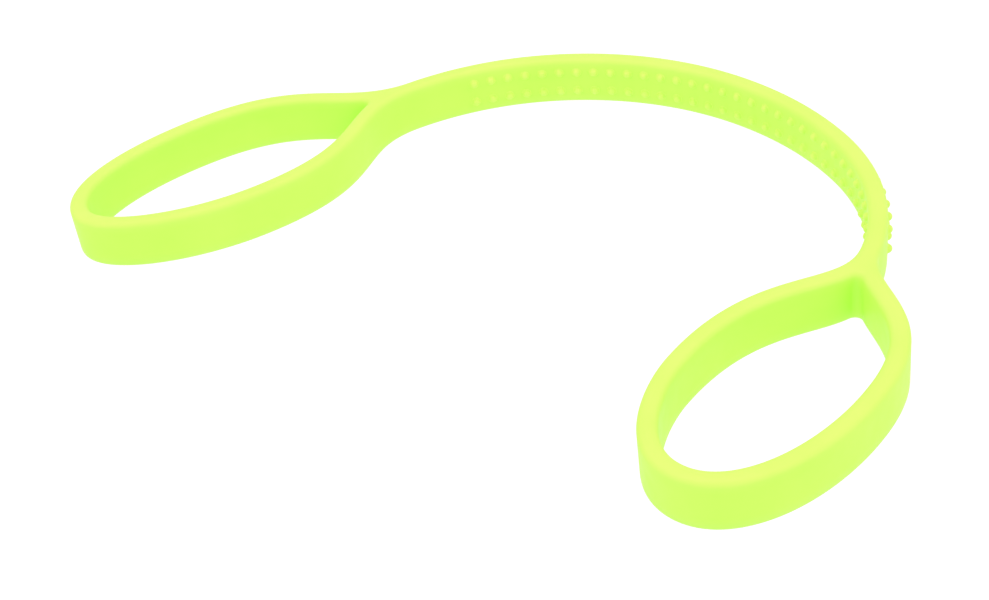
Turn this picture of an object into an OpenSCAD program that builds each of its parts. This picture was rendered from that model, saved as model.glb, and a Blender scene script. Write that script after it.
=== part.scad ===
// One-piece silicone band: an arched strap with a pointed-oval loop at each end.
// The band lies on its edge, so its width runs along Z. The moulding is divided at its
// flex zones, where a round end of one stretch turns in the hollow end of the next.

/* [Band] */
// Width of the band from edge to edge, which is its height as it lies
band_width = 12; // [10:0.5:16]
// Thickness of the wall, the same in the strap and in both loops
wall = 4.1; // [3.5:0.1:4.5]
// Clearance round each round end inside its hollow end
flex_gap = 0.2; // [0.1:0.05:0.3]
// Clearance round the round end at each loop's tip, where the loop is left open
tip_gap = 0.35; // [0.3:0.05:0.6]

/* [Strap] */
// Direction in which the strap leaves the left neck, in degrees from +X
strap_heading = 21.4; // [15:0.1:30]
// Bend radius of the left neck's strap end and of section 1
left_end_radius = 65; // [60:0.5:85]
// Bend radius of the arch's left half, sections 2 to 4
left_arch_radius = 72; // [60:0.5:85]
// Bend radius of the arch's right half, sections 5 and 6
right_arch_radius = 78.5; // [60:0.5:85]
// Bend radius of section 7, where the strap starts to turn in
shoulder_radius = 58; // [50:0.5:70]
// Bend radius of section 8
hook_radius = 53.5; // [40:0.5:60]
// Bend radius of the right neck's strap end
right_end_radius = 46; // [40:0.5:60]
// Length of strap that belongs to the left neck
left_stub = 13.1; // [12:0.1:18]
// Length of strap that belongs to the right neck
right_stub = 9; // [8:0.1:14]

/* [Grip nubs] */
// Distance from one column of nubs to the next along the strap
nub_pitch = 4.35; // [4:0.05:4.6]
// Columns of nubs on each strap section
section_columns = 4; // [3:1:5]
// Diameter of one nub, a half ball
nub_diameter = 2; // [1.5:0.1:2.2]
// Distance between the two rows of nubs across the band
row_spacing = 5; // [4:0.1:7]

/* [Left loop] */
// Length of the loop's centreline shape, from the strap's end to the tip
left_length = 85.3; // [78:0.1:90]
// Angle by which the loop leans away from the strap's direction
left_lean = 2.9; // [-3:0.1:5]
// Half width to the centre of the outer wall
left_outer_half_width = 19.2; // [15:0.1:23]
// Distance from the strap's end to the outer wall's widest point
left_outer_widest_at = 46.7; // [34:0.1:52]
// Half width to the centre of the inner wall, which faces the other loop
left_inner_half_width = 17.6; // [15:0.1:23]
// Distance from the strap's end to the inner wall's widest point
left_inner_widest_at = 49.5; // [34:0.1:52]

/* [Right loop] */
// Length of the loop's centreline shape, from the strap's end to the tip
right_length = 75; // [70:0.1:84]
// Angle by which the loop leans away from the strap's direction
right_lean = -10.6; // [-15:0.1:-9]
// Half width to the centre of the outer wall
right_outer_half_width = 20.3; // [15:0.1:23]
// Distance from the strap's end to the outer wall's widest point
right_outer_widest_at = 37.8; // [34:0.1:52]
// Half width to the centre of the inner wall, which faces the other loop
right_inner_half_width = 17.2; // [15:0.1:23]
// Distance from the strap's end to the inner wall's widest point
right_inner_widest_at = 48.3; // [34:0.1:52]

/* [Hidden] */
$fn = 128;
EPS = 1;
SECTIONS = 8;
section_length = nub_pitch * section_columns;
section_radii = [
    left_end_radius,
    left_arch_radius, left_arch_radius, left_arch_radius,
    right_arch_radius, right_arch_radius,
    shoulder_radius, hook_radius
];

// A pose is [x, y, heading]. The strap's left end is placed so that the whole band's box
// is centred on the origin.
left_root = [-9, 72.75, strap_heading];

// A loop is [root pose, length, lean].
// A side is [+1 or -1, half width, where it is widest, pull at the strap's end, pull before
// the widest point, pull after it, pull at the tip]; a pull is the reach of a curve's handle.
// Where a neck's arm ends, as a fraction of the curve from the strap's end to the widest point
ARM_END = 0.45;
CURVE_STEPS = 16;
STUB_STEPS = 6;
ROUND_STEPS = 24;

// ---- plan curves ----

// The pose reached by following a clockwise arc
function follow(pose, radius, length) =
    let (turned = pose[2] - length / radius * 180 / PI)
    [
        pose[0] + radius * (sin(pose[2]) - sin(turned)),
        pose[1] + radius * (cos(turned) - cos(pose[2])),
        turned
    ];

// The pose where strap section n begins; n = SECTIONS + 1 is where the right neck begins
function section_start(n) =
    n == 1
    ? follow(left_root, left_end_radius, left_stub)
    : follow(section_start(n - 1), section_radii[n - 2], section_length);

function section_poses(n) = [
    for (i = [0:CURVE_STEPS])
        follow(section_start(n), section_radii[n - 1], section_length * i / CURVE_STEPS)
];

right_root = follow(section_start(SECTIONS + 1), right_end_radius, right_stub);

left_loop = [turned_back(left_root), left_length, left_lean];
right_loop = [right_root, right_length, right_lean];

left_outer = [-1, left_outer_half_width, left_outer_widest_at, 17.9, 27.6, 19.2, 12.7];
left_inner = [1, left_inner_half_width, left_inner_widest_at, 19.9, 32.9, 17.6, 9];
right_outer = [1, right_outer_half_width, right_outer_widest_at, 13.4, 25.4, 19.7, 11.7];
right_inner = [-1, right_inner_half_width, right_inner_widest_at, 15.9, 32.3, 9.3, 12.5];

function bezier(p, t) =
    pow(1 - t, 3) * p[0] + 3 * pow(1 - t, 2) * t * p[1]
    + 3 * (1 - t) * t * t * p[2] + pow(t, 3) * p[3];

function bezier_slope(p, t) =
    pow(1 - t, 2) * (p[1] - p[0]) + 2 * (1 - t) * t * (p[2] - p[1]) + t * t * (p[3] - p[2]);

// Handles of a wall's two curves, in the loop's own axes: +X runs from the root to the tip
function near_curve(loop, side) = [
    [0, 0],
    side[3] * [cos(loop[2]), -sin(loop[2])],
    [side[2] - side[4], side[0] * side[1]],
    [side[2], side[0] * side[1]]
];
function far_curve(loop, side) = [
    [side[2], side[0] * side[1]],
    [side[2] + side[5], side[0] * side[1]],
    [loop[1], side[0] * side[6]],
    [loop[1], 0]
];

// The pose at fraction t of a curve, in the model's axes
function station(loop, curve, t) =
    let (
        p = bezier(curve, t),
        d = bezier_slope(curve, t),
        axis = loop[0][2] + loop[2]
    )
    [
        loop[0][0] + p[0] * cos(axis) - p[1] * sin(axis),
        loop[0][1] + p[0] * sin(axis) + p[1] * cos(axis),
        axis + atan2(d[1], d[0])
    ];

function stations(loop, curve, from, to) =
    [for (i = [0:CURVE_STEPS]) station(loop, curve, from + (to - from) * i / CURVE_STEPS)];

function turned_back(pose) = [pose[0], pose[1], pose[2] + 180];

// The strap's poses inside each neck, from the last flex point towards the loop
left_stub_poses = [
    for (i = [STUB_STEPS:-1:1])
        turned_back(follow(left_root, left_end_radius, left_stub * i / STUB_STEPS))
];
right_stub_poses = [
    for (i = [0:STUB_STEPS - 1])
        follow(section_start(SECTIONS + 1), right_end_radius, right_stub * i / STUB_STEPS)
];

// The point at a sideways distance from a pose, to its left when positive
function beside(pose, distance) =
    [pose[0] - distance * sin(pose[2]), pose[1] + distance * cos(pose[2])];

// Points of a half circle as thick as the wall, clockwise from an angle to the pose's heading
function half_round(pose, from) = [
    for (i = [1:ROUND_STEPS - 1])
        let (angle = pose[2] + from - 180 * i / ROUND_STEPS)
        [pose[0] + wall / 2 * cos(angle), pose[1] + wall / 2 * sin(angle)]
];

// ---- shapes ----

module silicone() { color([0.80, 1.00, 0.38]) children(); }

module at(pose) { translate([pose[0], pose[1], 0]) rotate(pose[2]) children(); }

// A bar along a list of poses, with a flat or a round end at its start and at its end
module bar(poses, start_is_round, end_is_round) {
    last = len(poses) - 1;
    linear_extrude(band_width)
        polygon(concat(
            [for (p = poses) beside(p, wall / 2)],
            end_is_round ? half_round(poses[last], 90) : [],
            [for (i = [last:-1:0]) beside(poses[i], -wall / 2)],
            start_is_round ? half_round(poses[0], 270) : []
        ));
}

// Hollow that a round end turns in
module hollow(gap) {
    translate([0, 0, -EPS]) cylinder(r = wall / 2 + gap, h = band_width + 2 * EPS);
}

// Half ball standing on the XY plane
module nub() {
    rotate_extrude() intersection() {
        circle(d = nub_diameter);
        square(nub_diameter);
    }
}

// ---- sub-parts ----

module strap_section(n) {
    silicone() difference() {
        bar(section_poses(n), true, false);
        at(section_start(n + 1)) hollow(flex_gap);
    }
}

// Two rows of nubs on one face of a strap section; face is +1 outside the arch, -1 inside.
// The inside face is hollow along the strap, so its nubs stand off by their rim's depth in it.
module nubs(n, face) {
    radius = section_radii[n - 1];
    lift = face < 0 ? pow(nub_diameter / 2, 2) / (2 * radius - wall) : 0;
    silicone()
        for (column = [0:section_columns - 1], row = [-1, 1])
            at(follow(section_start(n), radius, nub_pitch * (column + 0.5)))
                translate([0, face * (wall / 2 + lift), (band_width + row * row_spacing) / 2])
                    rotate([face * -90, 0, 0]) nub();
}

// A neck's fork: the strap's end runs on into the loop's two walls
module fork(stub_poses, loop, side_a, side_b, start_is_round) {
    for (side = [side_a, side_b])
        bar(
            concat(stub_poses, stations(loop, near_curve(loop, side), 0, ARM_END)),
            start_is_round, false
        );
}

module arm_hollows(loop, side_a, side_b) {
    for (side = [side_a, side_b])
        at(station(loop, near_curve(loop, side), ARM_END)) hollow(flex_gap);
}

module left_neck() {
    silicone() difference() {
        fork(left_stub_poses, left_loop, left_inner, left_outer, false);
        at(section_start(1)) hollow(flex_gap);
        arm_hollows(left_loop, left_inner, left_outer);
    }
}

module right_neck() {
    silicone() difference() {
        fork(right_stub_poses, right_loop, right_inner, right_outer, true);
        arm_hollows(right_loop, right_inner, right_outer);
    }
}

// The stretch of a loop's wall from the neck's arm to the widest point
module near_wall(loop, side) {
    curve = near_curve(loop, side);
    silicone() difference() {
        bar(stations(loop, curve, ARM_END, 1), true, false);
        at(station(loop, curve, 1)) hollow(flex_gap);
    }
}

// The stretch from the widest point to the tip
module far_wall(loop, side, tip_is_round) {
    curve = far_curve(loop, side);
    silicone() difference() {
        bar(stations(loop, curve, 0, 1), true, tip_is_round);
        if (!tip_is_round) at(station(loop, curve, 1)) hollow(tip_gap);
    }
}

strap_section(1);  // strap_section_1
strap_section(2);  // strap_section_2
strap_section(3);  // strap_section_3
strap_section(4);  // strap_section_4
strap_section(5);  // strap_section_5
strap_section(6);  // strap_section_6
strap_section(7);  // strap_section_7
strap_section(8);  // strap_section_8
nubs(1, -1);  // inner_nubs_1
nubs(2, -1);  // inner_nubs_2
nubs(3, -1);  // inner_nubs_3
nubs(4, -1);  // inner_nubs_4
nubs(5, -1);  // inner_nubs_5
nubs(6, -1);  // inner_nubs_6
nubs(7, -1);  // inner_nubs_7
nubs(8, -1);  // inner_nubs_8
nubs(1, 1);  // outer_nubs_1
nubs(2, 1);  // outer_nubs_2
nubs(3, 1);  // outer_nubs_3
nubs(4, 1);  // outer_nubs_4
nubs(5, 1);  // outer_nubs_5
nubs(6, 1);  // outer_nubs_6
nubs(7, 1);  // outer_nubs_7
nubs(8, 1);  // outer_nubs_8
left_neck();
right_neck();
near_wall(left_loop, left_inner);  // left_loop_inner_near
far_wall(left_loop, left_inner, false);  // left_loop_inner_far
near_wall(left_loop, left_outer);  // left_loop_outer_near
far_wall(left_loop, left_outer, true);  // left_loop_outer_far
near_wall(right_loop, right_inner);  // right_loop_inner_near
far_wall(right_loop, right_inner, false);  // right_loop_inner_far
near_wall(right_loop, right_outer);  // right_loop_outer_near
far_wall(right_loop, right_outer, true);  // right_loop_outer_far
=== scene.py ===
"""A one-piece lime silicone band lying on its edge: an arched strap with grip nubs on both
faces and a pointed-oval loop at each end."""
import math

import bpy
from mathutils import Matrix, Vector


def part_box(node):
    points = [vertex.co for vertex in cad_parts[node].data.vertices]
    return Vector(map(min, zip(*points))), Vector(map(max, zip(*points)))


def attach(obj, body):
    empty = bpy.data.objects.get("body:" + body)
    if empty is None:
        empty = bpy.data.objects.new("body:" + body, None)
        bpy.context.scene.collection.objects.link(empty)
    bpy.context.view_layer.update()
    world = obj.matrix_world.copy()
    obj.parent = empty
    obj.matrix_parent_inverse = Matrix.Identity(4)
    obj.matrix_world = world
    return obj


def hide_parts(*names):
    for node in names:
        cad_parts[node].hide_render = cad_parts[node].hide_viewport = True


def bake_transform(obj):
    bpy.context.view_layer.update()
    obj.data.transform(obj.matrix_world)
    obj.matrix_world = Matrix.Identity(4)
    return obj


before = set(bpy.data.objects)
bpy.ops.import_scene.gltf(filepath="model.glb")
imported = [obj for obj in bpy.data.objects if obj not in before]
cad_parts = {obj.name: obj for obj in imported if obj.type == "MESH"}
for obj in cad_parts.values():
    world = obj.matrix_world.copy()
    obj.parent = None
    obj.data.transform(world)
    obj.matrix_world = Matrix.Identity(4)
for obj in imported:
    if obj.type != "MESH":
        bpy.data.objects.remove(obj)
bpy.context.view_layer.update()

MM = 0.001

# ---- driving sizes in millimetres, the same as the CAD model's ----

BAND_WIDTH = (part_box("strap_section_4")[1].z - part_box("strap_section_4")[0].z) / MM
WALL = 4.1
HALF_WALL = WALL / 2

LEFT_ROOT = (-9.0, 72.75, math.radians(21.4))
LEFT_STUB = 13.1
RIGHT_STUB = 9.0
NUB_PITCH = 4.35
SECTION = 4 * NUB_PITCH
SECTIONS = 8
# (bend radius, length) of the strap from the left loop to the right loop
STRAP_ARCS = (
    [(65.0, LEFT_STUB), (65.0, SECTION)]
    + [(72.0, SECTION)] * 3
    + [(78.5, SECTION)] * 2
    + [(58.0, SECTION), (53.5, SECTION), (46.0, RIGHT_STUB)]
)
STRAP_LENGTH = sum(length for radius, length in STRAP_ARCS)
# Where a neck's arm meets the loop's wall, as a fraction of the wall's first curve
ARM_END = 0.45

NUB_RADIUS = 1.0
ROW_SPACING = 5.0

# ---- sizes of what only the mesh has, in millimetres ----

# Radius of the rounding along the band's four edges, and the slope where the slightly
# crowned edge face takes over from it
RIM_RADIUS = 1.15
RIM_TURN = math.radians(76)
RIM_STEPS = 6
# Distances from the edge face's centreline of the points that carry its crown
CROWN_AT = (0.6, 0.2)
# The rounding has no crisp start: the face's normals lean towards the edge by this much
# where the rounding begins, and the lean fades out over this distance down the face
SOFT_LEAN = math.radians(14)
SOFT_DEPTH = 2.4
SOFT_STEPS = 3
# Fillet inside a fork
CROTCH_RADIUS = 1.5
CROTCH_STEPS = 12
# The search for the fillet's place starts this far along both walls, and closes this share
# of the gap at a time
CROTCH_GUESS = 9.0
CROTCH_SHARE = 0.7
CROTCH_ROUNDS = 40
# How far a round tip sits below the wall it turns in
KNUCKLE_SUNK = 0.04
KNUCKLE_STEPS = 20
# Fillet round the foot of a nub, how deep its root is in the wall and how wide against
# the nub's radius, and how far the whole nub is sunk so that it never parts from the wall
NUB_FILLET = 0.45
NUB_ROOT = 0.3
NUB_ROOT_SHARE = 0.9
NUB_SUNK = 0.02
NUB_SEGMENTS = 28
BALL_STEPS = 8
FILLET_STEPS = 5
# Length of one mesh step along the band
STEP = 1.0
# How far a stretch reaches on each side of its flex point
STRAP_REACH = 8.0
ARM_REACH = 6.5
LOOP_REACH = 14.0
# How far inside its piece the stretch handed to flex_between starts and ends
CUT_MARGIN = 0.5

# ---- finish: colours, and sizes in millimetres ----

# The two limes that the pigment varies between, on the band and on its nubs. The rubber lets
# light through where it is thin, and this is painted: the nubs' limes are painted lighter, and
# along the band's edges the lime is multiplied by a tint that fades out over a depth, as painted
# light.
LIME_DEEP = (0.535, 0.97, 0.097)
LIME_PALE = (0.570, 0.98, 0.111)
# Painted light: the nubs' limes are lighter than the band's, standing in for the light that the
# rounded nubs catch and let through, and hiding their shaded side
NUB_DEEP_PAINTED_LIGHT = (0.594, 0.97, 0.121)
NUB_PALE_PAINTED_LIGHT = (0.633, 0.98, 0.139)
PAINTED_EDGE_LIGHT = (1.02, 1.0, 1.20)
PAINTED_LIGHT_DEPTH = 3.2
# Each texture as (size of its cells, octaves of detail)
PIGMENT_CELLS = (14.0, 3.0)
MATTE_CELLS = (3.0, 4.0)
FLOW_CELLS = (5.0, 2.0)
GRAIN_CELLS = (0.2, 3.0)
# The range that the middle half of a noise falls in
NOISE_MIDDLE = (0.25, 0.75)
ROUGHNESS = (0.44, 0.56)
SILICONE_IOR = 1.41
SILICONE_SPECULAR = 0.3
# Each relief as (strength, depth)
FLOW_RELIEF = (0.25, 0.05)
GRAIN_RELIEF = (0.2, 0.01)

# ---- studio: places and sizes in metres, powers in watts ----

FLOOR_HALF_SIZE = 4.0
# The floor lies a hair below the band, so that the two faces don't coincide
FLOOR_DROP = 0.0002
FLOOR_GREY = 0.1
FLOOR_ROUGHNESS = 0.9
SKY_STRENGTH = 0.75
# (name, place, what it points at, width and depth, power)
SOFTBOXES = (
    ("overhead", (0.0, 0.25, 0.9), (0, 0, 0), (0.9, 0.6), 4.0),
    ("front", (0.15, -0.45, 0.3), (0.05, -0.02, 0), (0.3, 0.2), 0.3),
    ("left", (-0.65, -0.2, 0.5), (0, 0, 0), (0.6, 0.6), 1.8),
    ("right", (0.65, -0.3, 0.5), (0, 0, 0), (0.6, 0.6), 1.8),
)

# Sensor and lens in millimetres, and the nearest and farthest that the camera sees in metres
CAMERA_SENSOR = 36.0
CAMERA_LENS = 66.35
CAMERA_CLIP = (0.01, 20.0)
# What the camera looks at and its distance from it, in millimetres, and its angles
CAMERA_TARGET = (3.495, -1.858, 0)
CAMERA_DISTANCE = 389.96
CAMERA_ELEVATION = math.radians(37.19)
CAMERA_TILT = math.radians(-8.20)


# ---- plan of the band: a pose is (x, y, heading) ----

def follow(pose, radius, length):
    """The pose reached by following a clockwise arc."""
    x, y, heading = pose
    turned = heading - length / radius
    return (
        x + radius * (math.sin(heading) - math.sin(turned)),
        y + radius * (math.cos(turned) - math.cos(heading)),
        turned,
    )


def strap_pose(distance):
    """The pose on the strap's centreline at a distance from the left loop."""
    pose = LEFT_ROOT
    for radius, length in STRAP_ARCS:
        if distance <= length:
            break
        pose = follow(pose, radius, length)
        distance -= length
    return follow(pose, radius, distance)


def heading_of(pose):
    return Vector((math.cos(pose[2]), math.sin(pose[2])))


def left_of(pose):
    return Vector((-math.sin(pose[2]), math.cos(pose[2])))


def beside(pose, distance):
    """The point at a sideways distance from a pose, to its left when positive."""
    return Vector(pose[:2]) + left_of(pose) * distance


class LoopWall:
    """One wall of a loop, from the strap's end to the tip, measured along its centreline. It is
    two cubic curves that meet at its widest point. side is 1 on the left of the loop's axis
    and -1 on its right, and pulls are the curves' four handle lengths, from root to tip."""

    TABLE_STEPS = 400

    def __init__(self, root, length, lean, side, half_width, widest_at, pulls):
        near_pull, before, after, tip_pull = pulls
        self.root = root
        self.axis = root[2] + lean
        widest = Vector((widest_at, side * half_width))
        self.near = [
            Vector((0, 0)),
            Vector((math.cos(lean), -math.sin(lean))) * near_pull,
            widest - Vector((before, 0)),
            widest,
        ]
        self.far = [
            widest,
            widest + Vector((after, 0)),
            Vector((length, side * tip_pull)),
            Vector((length, 0)),
        ]
        self.lengths = [0.0]
        last = Vector(self.at_fraction(0)[:2])
        for i in range(1, 2 * self.TABLE_STEPS + 1):
            point = Vector(self.at_fraction(i / self.TABLE_STEPS)[:2])
            self.lengths.append(self.lengths[-1] + (point - last).length)
            last = point
        self.arm = self.length_at(ARM_END)
        self.bend = self.length_at(1)
        self.tip = self.lengths[-1]

    def at_fraction(self, t):
        """The pose at t, which is 0 to 1 on the first curve and 1 to 2 on the second."""
        a, b, c, d = self.near if t < 1 else self.far
        t = t if t < 1 else t - 1
        u = 1 - t
        point = a * u**3 + b * (3 * u * u * t) + c * (3 * u * t * t) + d * t**3
        slope = (b - a) * u * u + (c - b) * (2 * u * t) + (d - c) * t * t
        turn = Matrix.Rotation(self.axis, 2)
        point = turn @ point
        slope = turn @ slope
        return self.root[0] + point.x, self.root[1] + point.y, math.atan2(slope.y, slope.x)

    def length_at(self, t):
        return self.lengths[round(t * self.TABLE_STEPS)]

    def pose(self, distance):
        """The pose at a distance from the strap's end."""
        low, high = 0, len(self.lengths) - 1
        while high - low > 1:
            middle = (low + high) // 2
            if self.lengths[middle] <= distance:
                low = middle
            else:
                high = middle
        share = (distance - self.lengths[low]) / (self.lengths[high] - self.lengths[low])
        return self.at_fraction((low + share) / self.TABLE_STEPS)


def stepped(pose_at, start, end):
    """Poses at even steps from start to end."""
    steps = max(2, round(abs(end - start) / STEP))
    return [pose_at(start + (end - start) * i / steps) for i in range(steps + 1)]


# A loop's root, length and lean from the strap's direction
LEFT_LOOP = ((LEFT_ROOT[0], LEFT_ROOT[1], LEFT_ROOT[2] + math.pi), 85.3, math.radians(2.9))
RIGHT_LOOP = (strap_pose(STRAP_LENGTH), 75.0, math.radians(-10.6))
WALLS = {
    "left_loop_outer": LoopWall(*LEFT_LOOP, -1, 19.2, 46.7, (17.9, 27.6, 19.2, 12.7)),
    "left_loop_inner": LoopWall(*LEFT_LOOP, 1, 17.6, 49.5, (19.9, 32.9, 17.6, 9.0)),
    "right_loop_outer": LoopWall(*RIGHT_LOOP, 1, 20.3, 37.8, (13.4, 25.4, 19.7, 11.7)),
    "right_loop_inner": LoopWall(*RIGHT_LOOP, -1, 17.2, 48.3, (15.9, 32.3, 9.3, 12.5)),
}


# ---- cross-section ----

def rim():
    """The rounded edge, from the band's face to the middle of its edge face, as
    (inset from the face, depth below the edge face, normal's outward and upward parts)."""
    crown = RIM_RADIUS + (HALF_WALL - RIM_RADIUS) / math.cos(RIM_TURN)
    points = []
    for i in range(RIM_STEPS + 1):
        turn = RIM_TURN * i / RIM_STEPS
        inset = RIM_RADIUS * (1 - math.cos(turn))
        depth = crown - (crown - RIM_RADIUS) * math.sin(RIM_TURN) - RIM_RADIUS * math.sin(turn)
        lean = SOFT_LEAN + (RIM_TURN - SOFT_LEAN) * i / RIM_STEPS
        points.append((inset, depth, math.cos(lean), math.sin(lean)))
    for from_centre in CROWN_AT:
        inset = HALF_WALL - from_centre
        turn = math.acos((HALF_WALL - inset) / crown)
        points.append((inset, crown * (1 - math.sin(turn)), math.cos(turn), math.sin(turn)))
    inset, depth = points[-1][:2]
    points[-1] = (inset, depth, 0.0, 1.0)
    return points


def column_profile():
    """Half of the cross-section, from the middle of the lower edge face, up the band's
    face, to the middle of the upper one, as (inset, height, outward, upward)."""
    edge = rim()
    lower = [(inset, depth, out, -up) for inset, depth, out, up in reversed(edge)]
    upper = [(inset, BAND_WIDTH - depth, out, up) for inset, depth, out, up in edge]
    low, high = lower[-1][1], upper[0][1]
    below, above = [], []
    for i in range(1, SOFT_STEPS + 1):
        lean = SOFT_LEAN * (1 - i / SOFT_STEPS) ** 2
        down = SOFT_DEPTH * i / SOFT_STEPS
        below.append((0.0, low + down, math.cos(lean), -math.sin(lean)))
        above.append((0.0, high - down, math.cos(lean), math.sin(lean)))
    middle = [(0.0, BAND_WIDTH / 2, 1.0, 0.0)]
    return lower + below + middle + above[::-1] + upper


COLUMN = column_profile()


class Moulding:
    """A closed mesh under construction, with the normal to shade with at every point."""

    def __init__(self):
        self.points = []
        self.normals = []
        self.faces = []
        self.flat = {}

    def point(self, place, normal):
        self.points.append(place)
        self.normals.append(normal)
        return len(self.points) - 1

    def face(self, corners, flat=None):
        """A face with its points' normals, or with one flat normal."""
        if flat is not None:
            self.flat[len(self.faces)] = flat
        self.faces.append(tuple(corners))

    def column(self, spot, outward, sunk=0.0):
        """Half of the cross-section standing on a point of the band's outline."""
        made = []
        for inset, height, out, up in COLUMN:
            place = spot - outward * (inset + sunk * out)
            made.append(self.point(
                Vector((place.x, place.y, height - sunk * up)),
                Vector((outward.x * out, outward.y * out, up)),
            ))
        return made

    def right_columns(self, poses):
        return [self.column(beside(p, -HALF_WALL), -left_of(p)) for p in poses]

    def left_columns(self, poses):
        return [self.column(beside(p, HALF_WALL), left_of(p)) for p in poses]

    def side(self, columns):
        """The face between columns, with the material on the left of their order."""
        for a, b in zip(columns, columns[1:]):
            for j in range(len(a) - 1):
                self.face((a[j], b[j], b[j + 1], a[j + 1]))

    def strips(self, right, left):
        """The middle of the two edge faces, between two rows of columns."""
        up = Vector((0, 0, 1))
        for i in range(len(right) - 1):
            self.face((right[i][-1], right[i + 1][-1], left[i + 1][-1], left[i][-1]), up)
            self.face((left[i][0], left[i + 1][0], right[i + 1][0], right[i][0]), -up)

    def lids(self, outline):
        """The middle of the two edge faces, inside a whole outline of columns."""
        up = Vector((0, 0, 1))
        self.face([c[-1] for c in outline], up)
        self.face([c[0] for c in reversed(outline)], -up)

    def cut(self, right, left, towards):
        """A flat cut across the band."""
        normal = Vector((towards.x, towards.y, 0))
        self.face(right + left[::-1], normal)

    def build(self, name, material):
        mesh = bpy.data.meshes.new(name)
        mesh.from_pydata([p * MM for p in self.points], [], self.faces)
        mesh.polygons.foreach_set("use_smooth", [True] * len(mesh.polygons))
        normals = []
        for polygon in mesh.polygons:
            flat = self.flat.get(polygon.index)
            for v in polygon.vertices:
                normals.append(self.normals[v].normalized() if flat is None else flat)
        mesh.normals_split_custom_set(normals)
        mesh.materials.append(material)
        obj = bpy.data.objects.new(name, mesh)
        bpy.context.scene.collection.objects.link(obj)
        return obj


# ---- pieces ----

def skin(name, poses, material):
    """A stretch of the band along a list of poses."""
    made = Moulding()
    right, left = made.right_columns(poses), made.left_columns(poses)
    made.side(right)
    made.side(left[::-1])
    made.strips(right, left)
    made.cut(right[0], left[0], -heading_of(poses[0]))
    made.cut(left[-1], right[-1], heading_of(poses[-1]))
    return made.build(name, material)


def round_end(made, pose):
    """Columns of a half round end, from the pose's right side to its left."""
    columns = []
    for i in range(KNUCKLE_STEPS + 1):
        angle = pose[2] - math.pi / 2 + math.pi * i / KNUCKLE_STEPS
        outward = Vector((math.cos(angle), math.sin(angle)))
        columns.append(made.column(Vector(pose[:2]) + outward * HALF_WALL, outward, KNUCKLE_SUNK))
    return columns


def tip(name, poses, material):
    """The end of a loop's wall, with a round end that turns inside the other wall's."""
    made = Moulding()
    outline = made.right_columns(poses)
    outline += round_end(made, poses[-1])
    outline += made.left_columns(poses)[::-1]
    made.side(outline)
    made.lids(outline)
    made.cut(outline[0], outline[-1], -heading_of(poses[0]))
    return made.build(name, material)


def crotch(left_wall, right_wall):
    """Where a circle of CROTCH_RADIUS touches both walls inside the fork: the distances
    along the walls, and the circle's centre."""
    reach = HALF_WALL + CROTCH_RADIUS
    a = b = CROTCH_GUESS
    for _ in range(CROTCH_ROUNDS):
        pose_a, pose_b = left_wall.pose(a), right_wall.pose(b)
        gap = beside(pose_b, reach) - beside(pose_a, -reach)
        along_a, along_b = heading_of(pose_a), heading_of(pose_b)
        spread = along_a.x * along_b.y - along_a.y * along_b.x
        a += (gap.x * along_b.y - gap.y * along_b.x) / spread * CROTCH_SHARE
        b += (gap.x * along_a.y - gap.y * along_a.x) / spread * CROTCH_SHARE
    return a, b, beside(left_wall.pose(a), -reach)


def fork(name, stub, left_wall, right_wall, material):
    """The Y where the strap divides into a loop's two walls."""
    made = Moulding()
    left_cut, right_cut = left_wall.arm - ARM_REACH, right_wall.arm - ARM_REACH
    left_poses = stub + stepped(left_wall.pose, 0, left_cut)
    right_poses = stub + stepped(right_wall.pose, 0, right_cut)
    left_touch, right_touch, centre = crotch(left_wall, right_wall)

    right_side = made.right_columns(right_poses)
    left_side = made.left_columns(left_poses)[::-1]
    inside = made.left_columns(stepped(right_wall.pose, right_cut, right_touch))
    from_angle = left_of(right_wall.pose(right_touch))
    start = math.atan2(-from_angle.y, -from_angle.x)
    to_angle = left_of(left_wall.pose(left_touch))
    end = math.atan2(to_angle.y, to_angle.x)
    turn = -((start - end) % (2 * math.pi))
    for i in range(1, CROTCH_STEPS):
        angle = start + turn * i / CROTCH_STEPS
        away = Vector((math.cos(angle), math.sin(angle)))
        inside.append(made.column(centre + away * CROTCH_RADIUS, -away))
    inside += made.right_columns(stepped(left_wall.pose, left_touch, left_cut))

    for columns in (right_side, inside, left_side):
        made.side(columns)
    made.lids(right_side + inside + left_side)
    made.cut(right_side[0], left_side[-1], -heading_of(stub[0]))
    made.cut(inside[0], right_side[-1], heading_of(right_poses[-1]))
    made.cut(left_side[0], inside[-1], heading_of(left_poses[-1]))
    return made.build(name, material)


def nub_profile():
    """A nub's outline from its top down, as (radius, height, outward, upward): a half ball
    that runs out into the band's face through a fillet."""
    tangent = math.acos(NUB_FILLET / (NUB_RADIUS + NUB_FILLET))
    foot = math.sqrt(NUB_RADIUS**2 + 2 * NUB_RADIUS * NUB_FILLET)
    points = []
    for i in range(1, BALL_STEPS + 1):
        a = tangent * i / BALL_STEPS
        out, up = math.sin(a), math.cos(a)
        points.append((NUB_RADIUS * out, NUB_RADIUS * up, out, up))
    for i in range(1, FILLET_STEPS + 1):
        a = tangent * (1 - i / FILLET_STEPS)
        out, up = math.sin(a), math.cos(a)
        points.append((foot - NUB_FILLET * out, NUB_FILLET * (1 - up), out, up))
    return points


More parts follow.
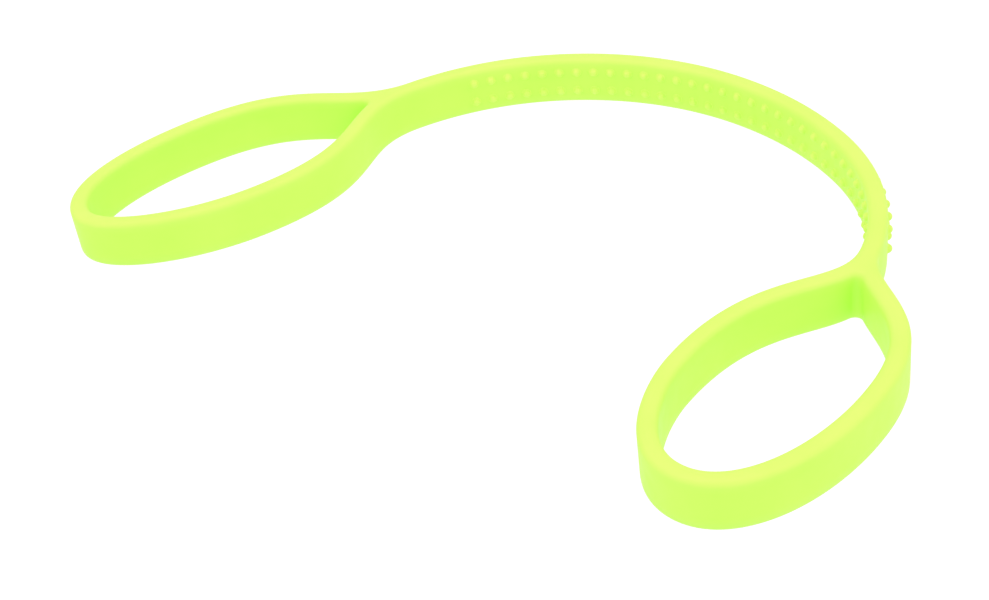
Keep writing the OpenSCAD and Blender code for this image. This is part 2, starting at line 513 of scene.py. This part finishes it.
def add_nub(made, foot, outward, height):
    """A nub on a point of the band's face, with its root inside the wall."""
    around = Vector((-outward.y, outward.x, 0))
    outward = Vector((outward.x, outward.y, 0))
    base = Vector((foot.x, foot.y, height))
    up = Vector((0, 0, 1))
    root = (NUB_RADIUS * NUB_ROOT_SHARE, -NUB_ROOT, 1.0, 0.0)
    top = made.point(base + outward * NUB_RADIUS, outward)
    rings = []
    for radius, rise, out, axial in nub_profile() + [root]:
        ring = []
        for k in range(NUB_SEGMENTS):
            angle = 2 * math.pi * k / NUB_SEGMENTS
            radial = around * math.cos(angle) + up * math.sin(angle)
            ring.append(made.point(
                base + outward * (rise - NUB_SUNK) + radial * radius,
                radial * out + outward * axial,
            ))
        rings.append(ring)
    for k in range(NUB_SEGMENTS):
        n = (k + 1) % NUB_SEGMENTS
        made.face((top, rings[0][k], rings[0][n]))
        for upper, lower in zip(rings, rings[1:]):
            made.face((upper[k], lower[k], lower[n], upper[n]))
    made.face(rings[-1][::-1], -outward)


def nubs(name, columns, face, material):
    """Both rows of nubs at some distances along the strap. face is 1 outside, -1 inside."""
    made = Moulding()
    for distance in columns:
        pose = strap_pose(distance)
        for row in (-1, 1):
            height = (BAND_WIDTH + row * ROW_SPACING) / 2
            add_nub(made, beside(pose, face * HALF_WALL), left_of(pose) * face, height)
    return made.build(name, material)


# ---- material ----

def colour_ramp(nodes, dark, light):
    ramp = nodes.new("ShaderNodeMix")
    ramp.data_type = "RGBA"
    ramp.inputs["A"].default_value = (*dark, 1)
    ramp.inputs["B"].default_value = (*light, 1)
    return ramp


def noise(nodes, links, place, cells):
    """A 3-D noise, from the size of its cells in millimetres and its octaves of detail."""
    cell, detail = cells
    texture = nodes.new("ShaderNodeTexNoise")
    texture.inputs["Scale"].default_value = 1 / (cell * MM)
    texture.inputs["Detail"].default_value = detail
    links.new(place, texture.inputs["Vector"])
    return texture.outputs["Fac"]


def between(nodes, links, value, low, high):
    """The middle of a noise spread over a range."""
    spread = nodes.new("ShaderNodeMapRange")
    spread.inputs["From Min"].default_value = NOISE_MIDDLE[0]
    spread.inputs["From Max"].default_value = NOISE_MIDDLE[1]
    spread.inputs["To Min"].default_value = low
    spread.inputs["To Max"].default_value = high
    links.new(value, spread.inputs["Value"])
    return spread.outputs["Result"]


def towards_edges(nodes, links, place):
    """0 in the middle of the band's height, rising to 1 at its two edges."""
    split = nodes.new("ShaderNodeSeparateXYZ")
    links.new(place, split.inputs["Vector"])
    middle = BAND_WIDTH / 2 * MM
    offset = nodes.new("ShaderNodeMath")
    offset.operation = "SUBTRACT"
    links.new(split.outputs["Z"], offset.inputs[0])
    offset.inputs[1].default_value = middle
    away = nodes.new("ShaderNodeMath")
    away.operation = "ABSOLUTE"
    links.new(offset.outputs["Value"], away.inputs[0])
    rise = nodes.new("ShaderNodeMapRange")
    rise.interpolation_type = "SMOOTHSTEP"
    rise.inputs["From Min"].default_value = middle - PAINTED_LIGHT_DEPTH * MM
    rise.inputs["From Max"].default_value = middle
    links.new(away.outputs["Value"], rise.inputs["Value"])
    return rise.outputs["Result"]


def tinted(nodes, links, colour, tint, share):
    """The colour multiplied by a tint, in full where share is 1."""
    painted_light_mix = nodes.new("ShaderNodeMix")
    painted_light_mix.data_type = "RGBA"
    painted_light_mix.blend_type = "MULTIPLY"
    links.new(colour, painted_light_mix.inputs["A"])
    painted_light_mix.inputs["B"].default_value = (*tint, 1)
    links.new(share, painted_light_mix.inputs["Factor"])
    return painted_light_mix.outputs["Result"]


def relief(nodes, links, height, strength, depth):
    """A bump of a depth in millimetres."""
    bump = nodes.new("ShaderNodeBump")
    bump.inputs["Strength"].default_value = strength
    bump.inputs["Distance"].default_value = depth * MM
    links.new(height, bump.inputs["Height"])
    return bump


def silicone(name, deep, pale, paint_edge_light):
    """Soft matte moulded rubber: pigment that varies a little from place to place, a face
    that is more and less matte in patches, and the fine grain of a blasted mould."""
    material = bpy.data.materials.new(name)
    material.use_nodes = True
    nodes, links = material.node_tree.nodes, material.node_tree.links
    shader = nodes["Principled BSDF"]
    place = nodes.new("ShaderNodeTexCoord").outputs["Object"]

    pigment = between(nodes, links, noise(nodes, links, place, PIGMENT_CELLS), 0.0, 1.0)
    ramp = colour_ramp(nodes, deep, pale)
    links.new(pigment, ramp.inputs["Factor"])
    colour = ramp.outputs["Result"]
    # Painted light: the band's upper and lower edges are made paler by multiplying the lime by
    # the edge tint, fading out over a depth
    if paint_edge_light:
        edges = towards_edges(nodes, links, place)
        colour = tinted(nodes, links, colour, PAINTED_EDGE_LIGHT, edges)
    links.new(colour, shader.inputs["Base Color"])

    patches = between(nodes, links, noise(nodes, links, place, MATTE_CELLS), *ROUGHNESS)
    links.new(patches, shader.inputs["Roughness"])
    shader.inputs["IOR"].default_value = SILICONE_IOR
    shader.inputs["Specular IOR Level"].default_value = SILICONE_SPECULAR

    flow = relief(nodes, links, noise(nodes, links, place, FLOW_CELLS), *FLOW_RELIEF)
    grain = relief(nodes, links, noise(nodes, links, place, GRAIN_CELLS), *GRAIN_RELIEF)
    links.new(flow.outputs["Normal"], grain.inputs["Normal"])
    links.new(grain.outputs["Normal"], shader.inputs["Normal"])
    return material


# ---- the whole band ----

def flex_between(piece, pose_at, start, end):
    """Bakes the piece's placement into its mesh. The poses at start and end are looked up but not
    used, so the piece doesn't bend.
    """
    for distance in (start, end):
        x, y = pose_at(distance)[:2]
    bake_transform(piece)


def strap_bodies():
    names = ["left_neck"]
    names += [f"strap_section_{n}" for n in range(1, SECTIONS + 1)]
    return names + ["right_neck"]


def make_strap(material, nub_material):
    """The strap's skins and their nubs. A skin is centred on a flex point and reaches to the
    middle of the sections on both sides, so it carries up to two nub columns on each side."""
    bodies = strap_bodies()
    for n in range(1, SECTIONS + 2):
        first, last = n == 1, n == SECTIONS + 1
        flex = LEFT_STUB + SECTION * (n - 1)
        start = flex - (STRAP_REACH if first else SECTION / 2)
        end = flex + (STRAP_REACH if last else SECTION / 2)
        pieces = [skin(f"strap_{n}", stepped(strap_pose, start, end), material)]
        columns = [] if first else [flex - NUB_PITCH * k for k in (1.5, 0.5)]
        columns += [] if last else [flex + NUB_PITCH * k for k in (0.5, 1.5)]
        pieces.append(nubs(f"strap_{n}_inner_nubs", columns, -1, nub_material))
        pieces.append(nubs(f"strap_{n}_outer_nubs", columns, 1, nub_material))
        stood_for = [m for m in (n - 1, n) if 1 <= m <= SECTIONS]
        for piece, node in zip(pieces, ("strap_section", "inner_nubs", "outer_nubs")):
            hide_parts(*[f"{node}_{m}" for m in stood_for])
            flex_between(
                piece, strap_pose,
                start + CUT_MARGIN, end - CUT_MARGIN,
            )


def make_forks(material):
    """The two necks, each with the short end of strap that stays rigid with it."""
    left_stub = stepped(strap_pose, LEFT_STUB - STRAP_REACH, 0)
    left_stub = [(x, y, heading + math.pi) for x, y, heading in left_stub][:-1]
    right_start = STRAP_LENGTH - RIGHT_STUB + STRAP_REACH
    right_stub = stepped(strap_pose, right_start, STRAP_LENGTH)[:-1]
    for side, stub, left_wall, right_wall in (
        ("left", left_stub, "inner", "outer"),
        ("right", right_stub, "outer", "inner"),
    ):
        walls = [WALLS[f"{side}_loop_{w}"] for w in (left_wall, right_wall)]
        piece = fork(f"{side}_fork", stub, *walls, material)
        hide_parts(f"{side}_neck")
        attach(piece, f"{side}_neck")


def make_loop_walls(material):
    """Each wall in three pieces: its root, its side with the widest point, and its tip."""
    for name, wall in WALLS.items():
        near, far = f"{name}_near", f"{name}_far"
        cut = wall.arm - ARM_REACH
        middle = (wall.arm + wall.bend) / 2
        last = (wall.bend + wall.tip) / 2

        root = skin(f"{name}_root", stepped(wall.pose, cut, middle), material)
        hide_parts(near)
        flex_between(
            root, wall.pose, cut + CUT_MARGIN, wall.arm + ARM_REACH - CUT_MARGIN
        )

        side = skin(f"{name}_side", stepped(wall.pose, middle, last), material)
        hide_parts(near, far)
        flex_between(side, wall.pose, wall.bend - LOOP_REACH, wall.bend + LOOP_REACH)

        end = tip(f"{name}_tip", stepped(wall.pose, last, wall.tip), material)
        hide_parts(far)
        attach(end, far)


# ---- studio ----

def make_floor():
    """A plain white floor, lit from below like a photographer's light table."""
    size = FLOOR_HALF_SIZE
    mesh = bpy.data.meshes.new("floor")
    corners = [(-size, -size, 0), (size, -size, 0), (size, size, 0), (-size, size, 0)]
    mesh.from_pydata(corners, [], [(0, 1, 2, 3)])
    material = bpy.data.materials.new("floor_white")
    material.use_nodes = True
    shader = material.node_tree.nodes["Principled BSDF"]
    shader.inputs["Base Color"].default_value = (FLOOR_GREY, FLOOR_GREY, FLOOR_GREY, 1)
    shader.inputs["Roughness"].default_value = FLOOR_ROUGHNESS
    shader.inputs["Emission Color"].default_value = (1, 1, 1, 1)
    shader.inputs["Emission Strength"].default_value = 1.0
    mesh.materials.append(material)
    floor = bpy.data.objects.new("floor", mesh)
    floor.location.z = -FLOOR_DROP
    bpy.context.scene.collection.objects.link(floor)


def softbox(name, place, target, size, power):
    light = bpy.data.lights.new(name, "AREA")
    light.shape = "RECTANGLE"
    light.size, light.size_y = size
    light.energy = power
    obj = bpy.data.objects.new(name, light)
    obj.location = place
    obj.rotation_mode = "QUATERNION"
    obj.rotation_quaternion = (Vector(target) - Vector(place)).to_track_quat("-Z", "Y")
    bpy.context.scene.collection.objects.link(obj)


def make_lights():
    world = bpy.data.worlds.new("studio")
    world.use_nodes = True
    background = world.node_tree.nodes["Background"]
    background.inputs["Color"].default_value = (1, 1, 1, 1)
    background.inputs["Strength"].default_value = SKY_STRENGTH
    bpy.context.scene.world = world
    for box in SOFTBOXES:
        softbox(*box)


def make_camera():
    """A 66 mm lens 390 mm from the band, 37 degrees above the floor and tilted 8 degrees."""
    data = bpy.data.cameras.new("camera")
    data.sensor_width = CAMERA_SENSOR
    data.lens = CAMERA_LENS
    data.clip_start, data.clip_end = CAMERA_CLIP
    distance = CAMERA_DISTANCE * MM
    look_at = Vector(CAMERA_TARGET) * MM
    back = Vector((0, -math.cos(CAMERA_ELEVATION), math.sin(CAMERA_ELEVATION)))
    camera = bpy.data.objects.new("camera", data)
    camera.location = look_at + back * distance
    camera.rotation_mode = "QUATERNION"
    tilt = Matrix.Rotation(CAMERA_TILT, 3, "Z").to_quaternion()
    camera.rotation_quaternion = (-back).to_track_quat("-Z", "Y") @ tilt
    bpy.context.scene.collection.objects.link(camera)
    bpy.context.scene.camera = camera


# The band's material has painted light along its upper and lower edges
lime = silicone("lime_silicone", LIME_DEEP, LIME_PALE, True)
# The nubs get their own lime, painted lighter as painted light
make_strap(lime, silicone("lime_silicone_nubs_painted_light", NUB_DEEP_PAINTED_LIGHT, NUB_PALE_PAINTED_LIGHT, False))
make_forks(lime)
make_loop_walls(lime)
make_floor()
make_lights()
make_camera()
bpy.context.scene.view_settings.view_transform = "Standard"
